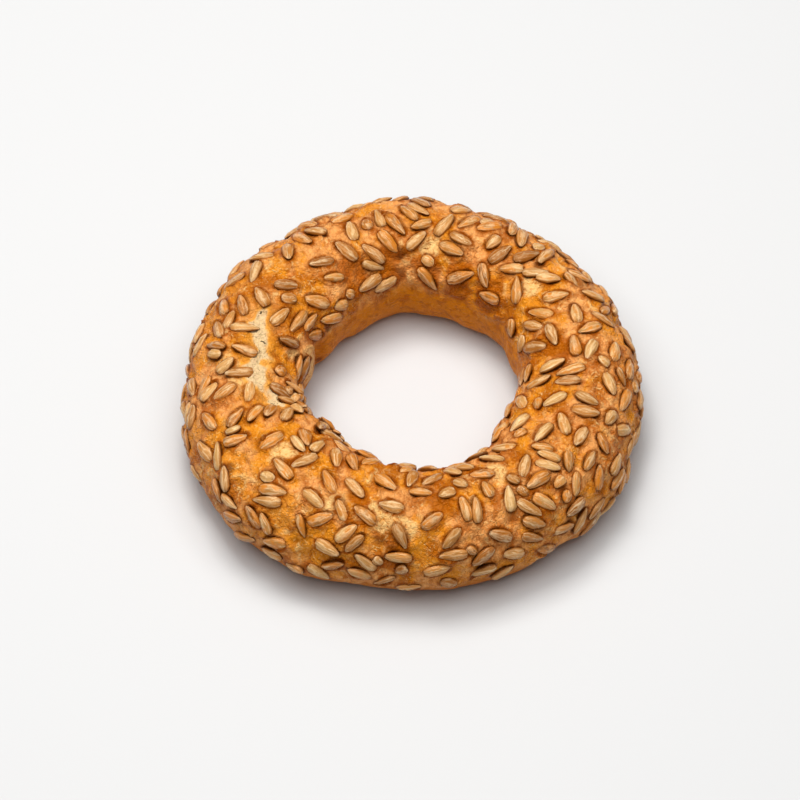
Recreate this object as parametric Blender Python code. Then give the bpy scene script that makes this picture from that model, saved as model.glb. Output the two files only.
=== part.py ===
"""A simit: a baked ring of dough with hulled sunflower kernels set in its crust.

The ring lies flat on its foot, at z = 0. Its middle is the origin, +Z is up, and sizes are metres.
A bearing is the angle round the ring, anticlockwise from +X. A section angle is the angle round
the dough, 0 at the outer side, a quarter turn at the crest and a half turn at the inner wall.
"""

import math
import random

import bmesh
import bpy
from mathutils import Matrix, Vector

# The ring at twelve even bearings from +X: middle radius, half width and height of the dough.
STATIONS = (
    (0.0556, 0.0200, 0.0353),
    (0.0567, 0.0191, 0.0355),
    (0.0569, 0.0177, 0.0357),
    (0.0585, 0.0180, 0.0358),
    (0.0565, 0.0198, 0.0362),
    (0.0562, 0.0202, 0.0359),
    (0.0573, 0.0195, 0.0352),
    (0.0571, 0.0223, 0.0357),
    (0.0561, 0.0223, 0.0363),
    (0.0560, 0.0196, 0.0360),
    (0.0570, 0.0189, 0.0356),
    (0.0551, 0.0225, 0.0358),
)
# The dough isn't quite round, so this brings the middle of its bounding box to the origin.
RING_SHIFT = (0.0003, -0.0007)

# The section: two half superellipses that meet at the widest level, cut flat by the oven tray.
WIDEST_LEVEL = 0.42
CREST_POWER = 2.15
BELLY_POWER = 2.30
BELLY_DROP = 1.12
FOOT_FADE = math.radians(30)

# Unevenness of the dough: height, waves round the ring, waves round the section, phase.
LUMPS = (
    (0.00040, 5, 0, 1.1),
    (0.00035, 8, 1, 0.4),
    (0.00030, 13, -2, 2.0),
    (0.00020, 19, 2, 4.2),
)

# Where the two ends of the dough rope meet, a crease runs up the inner wall.
SEAM_BEARING = math.radians(150)
SEAM_WIDTH = 0.0026
SEAM_DEPTH = 0.0030
SEAM_MIDDLE = math.radians(185)
SEAM_REACH = math.radians(52)
# The inner wall's reach from the middle, as a share of the dough's middle radius.
INNER_SHARE = 0.65

# Beyond the seam the crust has torn open in a shallow valley that runs along the crest: the
# bearing and section angle of its corners.
SPLIT_PATH = (
    (math.radians(159), math.radians(96)),
    (math.radians(176), math.radians(107)),
    (math.radians(186), math.radians(99)),
    (math.radians(199), math.radians(116)),
)
SPLIT_WIDTH = 0.0026
SPLIT_DEPTH = 0.0010
# How far round the ring from its start the valley can be felt.
SPLIT_SEARCH = 1.1

# Mesh fineness of the bare ring.
BEARING_STEPS = 60
SECTION_STEPS = 16
NEARLY_FLAT = math.radians(6)
SHARP = math.radians(38)
# The angle either side of a point between which its slope is taken.
NUDGE = 0.004

# Hulled sunflower kernels: sizes, and how far each is sunk in the crust.
KERNEL_LENGTH = (0.0094, 0.0109)
KERNEL_WIDTH = (0.0043, 0.0051)
KERNEL_THICKNESS = (0.0025, 0.0031)
BROKEN_SHARE = 0.07
BROKEN_LENGTH = (0.50, 0.72)
SUNK = (0.27, 0.40)
PITCH = math.radians(9)
ROLL = math.radians(16)
BLUNT_POWER = 0.38
TIP_POWER = 0.52
KERNEL_SECTIONS = (-0.70, 0.42)
KERNEL_RIM = -0.2
CROWN_SHARE = 0.5

# The rule that spreads the kernels.
SEED = 11
KERNEL_COUNT = 250
TRIES = 12000
DIRECTIONS = 7
KERNEL_GAP = (-0.0008, 0.0003)
DISC_PLACES = (-0.32, 0.0, 0.32)
DISC_SHARE = 0.92
SECTION_DRAW = (math.radians(-35), math.radians(205))
NEIGHBOURHOOD = 0.0130
SPLIT_CLEARANCE = 0.0034
# The ring's own reach from the middle, which evens out a draw by bearing, and the bearing round
# which the kernels are fewer, by up to a share.
WIDEST_REACH = 0.080
SPARSE_BEARING = math.radians(150)
SPARSE_SHARE = 0.30
# On the crest they lie any way round, and on the walls nearly along the ring.
WALL_HEADING = math.radians(38)
# The lower walls are bare. Each line's level, and how it rises and falls once round the ring.
BARE_OUTSIDE = (0.0100, 0.0028, math.radians(215))
BARE_INSIDE = (0.0215, 0.0022, math.radians(40))
BARE_RIPPLE = 0.0012
BARE_WAVES = (9, 4)

CRUST_COLOUR = (0.56, 0.23, 0.055, 1.0)
CRUST_ROUGHNESS = 0.45


def smooth(value):
    """Eases a share from 0 to 1, and holds it at either end."""
    share = min(1.0, max(0.0, value))
    return share * share * (3.0 - 2.0 * share)


def turned(angle):
    """The same angle, between minus half a turn and half a turn."""
    return (angle + math.pi) % (2.0 * math.pi) - math.pi


def around(column, bearing):
    """One column of STATIONS at a bearing, on a smooth closed curve through the stations."""
    place = bearing / (2.0 * math.pi) * len(STATIONS)
    first = math.floor(place)
    share = place - first
    before, here, after, beyond = (
        STATIONS[(first + step) % len(STATIONS)][column] for step in (-1, 0, 1, 2)
    )
    bend = 2.0 * before - 5.0 * here + 4.0 * after - beyond
    twist = 3.0 * (here - after) + beyond - before
    return here + 0.5 * share * (after - before + share * (bend + share * twist))


def foot_angle():
    """How far below level the section meets its flat foot, on either side."""
    height = 1.0 / BELLY_DROP
    width = (1.0 - height**BELLY_POWER) ** (1.0 / BELLY_POWER)
    return math.atan2(height, width)


def lumps(bearing, section):
    """The height of the dough's unevenness."""
    return sum(
        height * math.sin(ring_waves * bearing + section_waves * section + phase)
        for height, ring_waves, section_waves, phase in LUMPS
    )


def seam(bearing, section):
    """The depth of the crease where the ends of the rope meet."""
    across = turned(bearing - SEAM_BEARING) * around(0, SEAM_BEARING) * INNER_SHARE
    reach = smooth(1.0 - abs(turned(section - SEAM_MIDDLE)) / SEAM_REACH)
    return SEAM_DEPTH * reach * math.exp(-((across / SEAM_WIDTH) ** 2))


def split_distance(bearing, section):
    """The distance along the surface from the middle line of the torn valley."""
    first_turn, first_angle = SPLIT_PATH[0]
    radius, half_width = around(0, first_turn), around(1, first_turn)
    if abs(turned(bearing - first_turn)) > SPLIT_SEARCH:
        return SPLIT_SEARCH * radius
    across, over = turned(bearing - first_turn), turned(section - first_angle)
    point = Vector((across * radius, over * half_width))
    corners = [
        Vector(((turn - first_turn) * radius, (angle - first_angle) * half_width))
        for turn, angle in SPLIT_PATH
    ]
    gaps = []
    for start, end in zip(corners, corners[1:]):
        run = end - start
        share = min(1.0, max(0.0, (point - start).dot(run) / run.length_squared))
        gaps.append((point - start - share * run).length)
    return min(gaps)


def split(bearing, section):
    """The depth of the torn valley."""
    return SPLIT_DEPTH * math.exp(-((split_distance(bearing, section) / SPLIT_WIDTH) ** 2))


def dough(bearing, section):
    """The point of the dough's surface at a bearing and a section angle."""
    middle, half_width, height = (around(column, bearing) for column in range(3))
    level = WIDEST_LEVEL * height
    level_cos, level_sin = math.cos(section), math.sin(section)
    power = CREST_POWER if level_sin >= 0.0 else BELLY_POWER
    reach = (abs(level_cos) ** power + abs(level_sin) ** power) ** (-1.0 / power)
    rise = height - level if level_sin >= 0.0 else BELLY_DROP * level
    outside_foot = math.pi / 2.0 - foot_angle()
    clear = abs(turned(section + math.pi / 2.0)) - outside_foot
    if clear <= 1e-9:
        relief, lift = 0.0, 0.0
    else:
        relief = lumps(bearing, section) - seam(bearing, section) - split(bearing, section)
        relief *= smooth(clear / FOOT_FADE)
        lift = level + rise * level_sin * reach + relief * level_sin
    out = middle + half_width * level_cos * reach + relief * level_cos
    return Vector(
        (
            out * math.cos(bearing) + RING_SHIFT[0],
            out * math.sin(bearing) + RING_SHIFT[1],
            max(0.0, lift),
        )
    )


def surface_frame(bearing, section):
    """A point of the dough, its outward normal and the direction round the ring."""
    point = dough(bearing, section)
    onward = dough(bearing + NUDGE, section) - dough(bearing - NUDGE, section)
    over = dough(bearing, section + NUDGE) - dough(bearing, section - NUDGE)
    return point, onward.cross(over).normalized(), onward.normalized()


def section_angles():
    """Section angles from the outer edge of the foot, over the crest, to the foot's inner edge."""
    start = -foot_angle()
    sweep = math.pi + 2.0 * foot_angle()
    return [start + sweep * step / SECTION_STEPS for step in range(SECTION_STEPS + 1)]


def crust_material():
    """Golden brown, egg-washed crust."""
    material = bpy.data.materials.new("crust")
    material.use_nodes = True
    shader = material.node_tree.nodes["Principled BSDF"]
    shader.inputs["Base Color"].default_value = CRUST_COLOUR
    shader.inputs["Roughness"].default_value = CRUST_ROUGHNESS
    shader.inputs["Metallic"].default_value = 0.0
    return material


def link(name, mesh, collection=None):
    """A new object for a mesh, linked to a collection or else to the scene's own."""
    made = bpy.data.objects.new(name, mesh)
    (collection or bpy.context.scene.collection).objects.link(made)
    return made


def make_ring():
    """The bare ring: one loop of points at each bearing, skinned to the next loop."""
    shape = bmesh.new()
    angles = section_angles()
    bearings = [2.0 * math.pi * step / BEARING_STEPS for step in range(BEARING_STEPS)]
    loops = [[shape.verts.new(dough(bearing, angle)) for angle in angles] for bearing in bearings]
    for index, loop in enumerate(loops):
        onward = loops[(index + 1) % len(loops)]
        for step in range(len(loop)):
            after = (step + 1) % len(loop)
            shape.faces.new((loop[step], onward[step], onward[after], loop[after]))
    bmesh.ops.recalc_face_normals(shape, faces=shape.faces)
    mesh = bpy.data.meshes.new("simit")
    shape.to_mesh(mesh)
    shape.free()
    return link("simit", mesh)


def kernel_half_width(place):
    """Half the kernel's width, as a share of its widest, at a place from -1, blunt, to 1, tip."""
    widest = (BLUNT_POWER - TIP_POWER) / (BLUNT_POWER + TIP_POWER)
    most = (1.0 - widest) ** TIP_POWER * (1.0 + widest) ** BLUNT_POWER
    return (1.0 - place) ** TIP_POWER * (1.0 + place) ** BLUNT_POWER / most


def make_kernel_mesh():
    """A plain kernel of length, width and thickness 1: a flattened drop with a crowned top."""
    shape = bmesh.new()
    blunt, tip = (shape.verts.new((end, 0.0, KERNEL_RIM)) for end in (-0.5, 0.5))
    rings = []
    for place in KERNEL_SECTIONS:
        half = 0.5 * kernel_half_width(place)
        flat = half * CROWN_SHARE
        crown = ((half, KERNEL_RIM), (flat, 0.5), (-flat, 0.5), (-half, KERNEL_RIM))
        outline = (*crown, (0.0, -0.5))
        rings.append([shape.verts.new((place * 0.5, y, z)) for y, z in outline])
    for ring, end in ((rings[0], blunt), (rings[-1], tip)):
        for index, corner in enumerate(ring):
            shape.faces.new((corner, ring[(index + 1) % len(ring)], end))
    for first, second in zip(rings, rings[1:]):
        for index, corner in enumerate(first):
            after = (index + 1) % len(first)
            shape.faces.new((corner, second[index], second[after], first[after]))
    bmesh.ops.recalc_face_normals(shape, faces=shape.faces)
    bmesh.ops.triangulate(shape, faces=shape.faces)
    mesh = bpy.data.meshes.new("kernel")
    shape.to_mesh(mesh)
    shape.free()
    return mesh


class Kernel:
    """One kernel: its size, and the frame that it lies in."""

    def __init__(self, point, normal, along, size, tilt, sunk):
        self.length, self.width, self.thickness = size
        self.along = along
        across = normal.cross(along)
        axes = Matrix((along, across, normal)).transposed()
        leaning = axes @ Matrix.Rotation(tilt[0], 3, "Y") @ Matrix.Rotation(tilt[1], 3, "X")
        self.middle = point + normal * (0.5 - sunk) * self.thickness
        self.matrix = Matrix.Translation(self.middle) @ leaning.to_4x4()

    def discs(self):
        """Three discs that stand for the kernel when its neighbours are kept off it."""
        return [self.middle + self.along * place * self.length for place in DISC_PLACES]

    def placed(self):
        """The matrix that takes the unit kernel to its size and place."""
        return self.matrix @ Matrix.Diagonal((self.length, self.width, self.thickness, 1.0))


def gap_between(first, second):
    """The least distance between the discs of two kernels."""
    nearest = min((a - b).length for a in first.discs() for b in second.discs())
    return nearest - 0.5 * (first.width + second.width) * DISC_SHARE


def bare_line(bearing, inside):
    """The level under which the wall has no kernels."""
    level, swing, highest = BARE_INSIDE if inside else BARE_OUTSIDE
    fast, slow = BARE_WAVES
    ripple = BARE_RIPPLE * math.sin(fast * bearing) * math.cos(slow * bearing)
    return level + swing * math.cos(bearing - highest) + ripple


def likelihood(point, bearing):
    """The chance that a place drawn is used, so that kernels lie evenly but for one side."""
    sparse = SPARSE_SHARE * max(0.0, math.cos(bearing - SPARSE_BEARING))
    return math.hypot(point.x, point.y) / WIDEST_REACH * (1.0 - sparse)


def in_seeded_band(point, bearing, section):
    """Whether kernels lie here: over the crest, above the bare walls, off the split."""
    covered = point.z > bare_line(bearing, math.cos(section) < 0.0)
    return covered and split_distance(bearing, section) > SPLIT_CLEARANCE


def headings(share, section):
    """Directions to try for a kernel, as angles from the way round the ring."""
    flatness = max(0.0, math.sin(section)) ** 2
    reach = WALL_HEADING + (math.pi / 2.0 - WALL_HEADING) * flatness
    for turn in range(DIRECTIONS):
        yield reach * (2.0 * ((share + turn / DIRECTIONS) % 1.0) - 1.0)


def scatter_kernels():
    """Draws places at random and keeps each that lies clear of the kernels already set."""
    draw = random.Random(SEED)
    placed = []
    for _ in range(TRIES):
        if len(placed) == KERNEL_COUNT:
            break
        bearing = draw.uniform(0.0, 2.0 * math.pi)
        section = draw.uniform(*SECTION_DRAW)
        heading, flip, keep, broken = (draw.random() for _ in range(4))
        length = draw.uniform(*KERNEL_LENGTH)
        shortened = length * draw.uniform(*BROKEN_LENGTH)
        width, thickness = draw.uniform(*KERNEL_WIDTH), draw.uniform(*KERNEL_THICKNESS)
        tilt = (draw.gauss(0.0, PITCH / 2.0), draw.gauss(0.0, ROLL / 2.0))
        sunk, gap = draw.uniform(*SUNK), draw.uniform(*KERNEL_GAP)
        point, normal, onward = surface_frame(bearing, section)
        if keep > likelihood(point, bearing):
            continue
        if not in_seeded_band(point, bearing, section):
            continue
        size = (shortened if broken < BROKEN_SHARE else length, width, thickness)
        side = normal.cross(onward) * (1.0 if flip < 0.5 else -1.0)
        onward = onward * (1.0 if flip < 0.5 else -1.0)
        near = [other for other in placed if (other.middle - point).length < NEIGHBOURHOOD]
        best, best_gap = None, gap
        for angle in headings(heading, section):
            along = onward * math.cos(angle) + side * math.sin(angle)
            kernel = Kernel(point, normal, along, size, tilt, sunk)
            clear = min((gap_between(kernel, other) for other in near), default=gap)
            if clear > best_gap or best is None and clear == gap:
                best, best_gap = kernel, clear
        if best:
            placed.append(best)
    return placed


def set_kernels(ring, kernels):
    """Fuses the kernels to the ring with one union, and removes what it was made from."""
    mesh = make_kernel_mesh()
    collection = bpy.data.collections.new("kernels")
    bpy.context.scene.collection.children.link(collection)
    for index, kernel in enumerate(kernels):
        made = link(f"kernel_{index:03d}", mesh.copy(), collection)
        made.data.transform(kernel.placed())
    union = ring.modifiers.new("kernels", "BOOLEAN")
    union.operation = "UNION"
    union.operand_type = "COLLECTION"
    union.collection = collection
    union.solver = "EXACT"
    bpy.context.view_layer.objects.active = ring
    bpy.ops.object.modifier_apply(modifier=union.name)
    for made in list(collection.objects):
        bpy.data.objects.remove(made)
    bpy.data.collections.remove(collection)


def lighten(ring):
    """Dissolves the edges that the union left between nearly flat faces, and splits the rest."""
    shape = bmesh.new()
    shape.from_mesh(ring.data)
    bmesh.ops.dissolve_limit(
        shape, angle_limit=NEARLY_FLAT, verts=shape.verts, edges=shape.edges
    )
    bmesh.ops.triangulate(shape, faces=shape.faces)
    shape.to_mesh(ring.data)
    shape.free()


def main():
    for old in list(bpy.data.objects):
        bpy.data.objects.remove(old)
    ring = make_ring()
    set_kernels(ring, scatter_kernels())
    lighten(ring)
    ring.data.shade_smooth()
    ring.data.set_sharp_from_angle(angle=SHARP)
    ring.data.materials.append(crust_material())


main()
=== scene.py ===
"""The looks of a simit: a baked ring of dough with hulled sunflower kernels set in its crust.

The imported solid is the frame. Two pieces replace it and keep its form: the crust, which is the same
ring of dough modelled finely, and the kernels, which lie where the solid has them, with small and
broken ones in the gaps between. Lengths are metres and +Z is up. A bearing is the angle round the
ring, anticlockwise from +X. A section angle is the angle round the dough: 0 at the outer side, a
quarter turn at the crest and a half turn at the inner wall.
"""

import logging
import math
import random
from collections.abc import Callable, Iterator
from dataclasses import dataclass, field
from enum import Enum

import bpy
from mathutils import Matrix, Vector, noise
from mathutils.kdtree import KDTree


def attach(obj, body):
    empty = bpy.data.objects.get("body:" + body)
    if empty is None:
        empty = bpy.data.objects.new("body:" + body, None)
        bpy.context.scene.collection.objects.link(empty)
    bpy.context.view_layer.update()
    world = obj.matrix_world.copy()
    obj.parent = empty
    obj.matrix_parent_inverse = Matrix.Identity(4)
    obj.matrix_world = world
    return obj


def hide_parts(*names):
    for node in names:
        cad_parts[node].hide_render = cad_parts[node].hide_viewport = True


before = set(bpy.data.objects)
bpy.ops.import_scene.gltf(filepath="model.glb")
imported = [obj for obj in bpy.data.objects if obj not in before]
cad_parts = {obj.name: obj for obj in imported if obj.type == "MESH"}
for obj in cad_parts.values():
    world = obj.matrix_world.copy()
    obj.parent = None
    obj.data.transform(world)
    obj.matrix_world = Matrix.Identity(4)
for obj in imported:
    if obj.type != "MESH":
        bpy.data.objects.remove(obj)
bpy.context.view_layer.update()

NODE = "simit"
BODY = "root"
MM = 0.001
TURN = 2.0 * math.pi

Levels = tuple[float, float]
Socket = bpy.types.NodeSocket

log = logging.getLogger("simit")


def smooth(value: float) -> float:
    """Eases a share from 0 to 1, and holds it at either end."""
    share = min(1.0, max(0.0, value))
    return share * share * (3.0 - 2.0 * share)


def turned(angle: float) -> float:
    """The same angle, between minus half a turn and half a turn."""
    return (angle + math.pi) % TURN - math.pi


def linear(red: int, green: int, blue: int) -> tuple[float, float, float, float]:
    """A screen colour, with channels from 0 to 255, as the linear colour that a shader takes.

    Args:
        red: The red channel.
        green: The green channel.
        blue: The blue channel.

    Returns:
        Red, green, blue and an alpha of 1.
    """
    shares = [channel / 255.0 for channel in (red, green, blue)]
    lit = [s / 12.92 if s <= 0.04045 else ((s + 0.055) / 1.055) ** 2.4 for s in shares]
    return (*lit, 1.0)


@dataclass(frozen=True)
class Station:
    """The dough at one bearing: the radius of its middle, half its width, and its height."""

    radius: float
    half_width: float
    height: float


@dataclass(frozen=True)
class Lump:
    """One wave of the dough's unevenness, counted round the ring and round the section."""

    height: float
    ring_waves: int
    section_waves: int
    phase: float


@dataclass(frozen=True)
class DoughForm:
    """The form of the ring of dough, the same as the solid's."""

    stations: tuple[Station, ...] = (
        Station(0.0556, 0.0200, 0.0353),
        Station(0.0567, 0.0191, 0.0355),
        Station(0.0569, 0.0177, 0.0357),
        Station(0.0585, 0.0180, 0.0358),
        Station(0.0565, 0.0198, 0.0362),
        Station(0.0562, 0.0202, 0.0359),
        Station(0.0573, 0.0195, 0.0352),
        Station(0.0571, 0.0223, 0.0357),
        Station(0.0561, 0.0223, 0.0363),
        Station(0.0560, 0.0196, 0.0360),
        Station(0.0570, 0.0189, 0.0356),
        Station(0.0551, 0.0225, 0.0358),
    )
    shift: tuple[float, float] = (0.0003, -0.0007)
    widest_level: float = 0.42
    crest_power: float = 2.15
    belly_power: float = 2.30
    belly_drop: float = 1.12
    foot_fade: float = math.radians(30)
    lumps: tuple[Lump, ...] = (
        Lump(0.00040, 5, 0, 1.1),
        Lump(0.00035, 8, 1, 0.4),
        Lump(0.00030, 13, -2, 2.0),
        Lump(0.00020, 19, 2, 4.2),
    )
    seam_bearing: float = math.radians(150)
    seam_width: float = 0.0026
    seam_depth: float = 0.0030
    seam_middle: float = math.radians(185)
    seam_reach: float = math.radians(52)
    inner_share: float = 0.65
    split_path: tuple[tuple[float, float], ...] = (
        (math.radians(159), math.radians(96)),
        (math.radians(176), math.radians(107)),
        (math.radians(186), math.radians(99)),
        (math.radians(199), math.radians(116)),
    )
    split_width: float = 0.0026
    split_depth: float = 0.0010
    split_search: float = 1.1
    nudge: float = 0.004

    def around(self, name: str, bearing: float) -> float:
        """One measure of the stations at a bearing, on a smooth closed curve through them.

        Args:
            name: The measure's field name.
            bearing: The angle round the ring.

        Returns:
            The measure there.
        """
        place = bearing / TURN * len(self.stations)
        first = math.floor(place)
        share = place - first
        before, here, after, beyond = (
            getattr(self.stations[(first + step) % len(self.stations)], name)
            for step in (-1, 0, 1, 2)
        )
        bend = 2.0 * before - 5.0 * here + 4.0 * after - beyond
        twist = 3.0 * (here - after) + beyond - before
        return here + 0.5 * share * (after - before + share * (bend + share * twist))

    def foot_angle(self) -> float:
        """How far below level the section meets its flat foot, on either side."""
        height = 1.0 / self.belly_drop
        width = (1.0 - height**self.belly_power) ** (1.0 / self.belly_power)
        return math.atan2(height, width)

    def clear_of_foot(self, section: float) -> float:
        """The angle from the edge of the foot up to a section angle, under 0 on the foot."""
        return abs(turned(section + math.pi / 2.0)) - (math.pi / 2.0 - self.foot_angle())

    def seam(self, bearing: float, section: float) -> float:
        """The depth of the crease where the two ends of the dough rope meet.

        Args:
            bearing: The angle round the ring.
            section: The angle round the dough.

        Returns:
            The depth, in metres.
        """
        across = turned(bearing - self.seam_bearing)
        across *= self.around("radius", self.seam_bearing) * self.inner_share
        reach = smooth(1.0 - abs(turned(section - self.seam_middle)) / self.seam_reach)
        return self.seam_depth * reach * math.exp(-((across / self.seam_width) ** 2))

    def split_gap(self, bearing: float, section: float) -> float:
        """The distance along the surface from a point to the torn valley's middle line.

        Args:
            bearing: The angle round the ring.
            section: The angle round the dough.

        Returns:
            The distance, in metres.
        """
        first_turn, first_angle = self.split_path[0]
        if abs(turned(bearing - first_turn)) > self.split_search:
            return self.split_search * self.around("radius", first_turn)
        radius = self.around("radius", first_turn)
        half_width = self.around("half_width", first_turn)
        point = Vector(
            (turned(bearing - first_turn) * radius, turned(section - first_angle) * half_width)
        )
        corners = [
            Vector(((turn - first_turn) * radius, (angle - first_angle) * half_width))
            for turn, angle in self.split_path
        ]
        gaps = []
        for start, end in zip(corners, corners[1:]):
            run = end - start
            share = min(1.0, max(0.0, (point - start).dot(run) / run.length_squared))
            gaps.append((point - start - share * run).length)
        return min(gaps)

    def relief(self, bearing: float, section: float) -> float:
        """How far the surface stands off the even section, from lumps, seam and split.

        Args:
            bearing: The angle round the ring.
            section: The angle round the dough.

        Returns:
            The height, in metres, under 0 in the crease and the valley.
        """
        height = sum(
            lump.height
            * math.sin(lump.ring_waves * bearing + lump.section_waves * section + lump.phase)
            for lump in self.lumps
        )
        away = self.split_gap(bearing, section)
        height -= self.seam(bearing, section)
        return height - self.split_depth * math.exp(-((away / self.split_width) ** 2))

    def point(self, bearing: float, section: float) -> Vector:
        """The point of the dough's surface at a bearing and a section angle.

        Args:
            bearing: The angle round the ring.
            section: The angle round the dough.

        Returns:
            The point.
        """
        height = self.around("height", bearing)
        level = self.widest_level * height
        flat, steep = math.cos(section), math.sin(section)
        power = self.crest_power if steep >= 0.0 else self.belly_power
        reach = (abs(flat) ** power + abs(steep) ** power) ** (-1.0 / power)
        rise = height - level if steep >= 0.0 else self.belly_drop * level
        clear = self.clear_of_foot(section)
        relief, lift = 0.0, 0.0
        if clear > 1e-9:
            relief = self.relief(bearing, section) * smooth(clear / self.foot_fade)
            lift = level + rise * steep * reach + relief * steep
        out = self.around("radius", bearing) + relief * flat
        out += self.around("half_width", bearing) * flat * reach
        x, y = out * math.cos(bearing), out * math.sin(bearing)
        return Vector((x + self.shift[0], y + self.shift[1], max(0.0, lift)))

    def frame_at(self, bearing: float, section: float) -> tuple[Vector, Vector, Vector]:
        """A point of the dough, its outward normal and the direction round the ring there.

        Args:
            bearing: The angle round the ring.
            section: The angle round the dough.

        Returns:
            The point and the two directions, each of length 1.
        """
        step = self.nudge
        onward = self.point(bearing + step, section) - self.point(bearing - step, section)
        over = self.point(bearing, section + step) - self.point(bearing, section - step)
        point = self.point(bearing, section)
        return point, onward.cross(over).normalized(), onward.normalized()


class KernelKind(Enum):
    """The shapes that hulled kernels come in."""

    PLUMP = "plump"
    SLIM = "slim"
    NIBBED = "nibbed"
    BENT = "bent"
    HALF = "half"
    SHARD = "shard"


@dataclass
class Kernel:
    """One kernel: its size, and how it lies on the dough."""

    point: Vector
    normal: Vector
    along: Vector
    size: tuple[float, float, float]
    tilt: tuple[float, float]
    sunk: float
    whole: bool = True
    middle: Vector = field(init=False)
    discs: list[Vector] = field(init=False)

    DISC_PLACES = (-0.32, 0.0, 0.32)
    DISC_SHARE = 0.92
    SHOWN = (0.93, 0.97, 1.0)

    def __post_init__(self) -> None:
        """Works out the middle, and the discs that neighbours are kept off."""
        self.middle = self.point + self.normal * (0.5 - self.sunk) * self.size[2]
        self.discs = [
            self.middle + self.along * place * self.size[0] for place in self.DISC_PLACES
        ]

    def shown(self) -> Vector:
        """The size that shows, which is a little under that of the solid's few-sided kernel."""
        return Vector(share * side for share, side in zip(self.SHOWN, self.size))

    def across(self) -> Vector:
        """The direction across the kernel, level with the crust."""
        return self.normal.cross(self.along)

    def placed(self) -> Matrix:
        """The matrix that takes a kernel of length, width and thickness 1 to its place."""
        axes = Matrix((self.along, self.across(), self.normal)).transposed()
        lean = Matrix.Rotation(self.tilt[0], 3, "Y") @ Matrix.Rotation(self.tilt[1], 3, "X")
        turn = (axes @ lean).to_4x4()
        return Matrix.Translation(self.middle) @ turn @ Matrix.Diagonal((*self.shown(), 1.0))

    def gap_to(self, other: "Kernel") -> float:
        """The least distance between this kernel's discs and another's."""
        nearest = min((a - b).length for a in self.discs for b in other.discs)
        return nearest - 0.5 * (self.size[1] + other.size[1]) * self.DISC_SHARE


@dataclass(frozen=True)
class Sowing:
    """One round of scattering kernels: how many, how large, and how close together."""

    seed: int
    count: int
    tries: int
    length: tuple[float, float]
    width: tuple[float, float]
    thickness: tuple[float, float]
    broken_share: float
    sunk: tuple[float, float]
    pitch: float
    roll: float
    gap: tuple[float, float]
    bearings: tuple[float, float] = (0.0, TURN)
    sections: tuple[float, float] = (math.radians(-35), math.radians(205))


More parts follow.
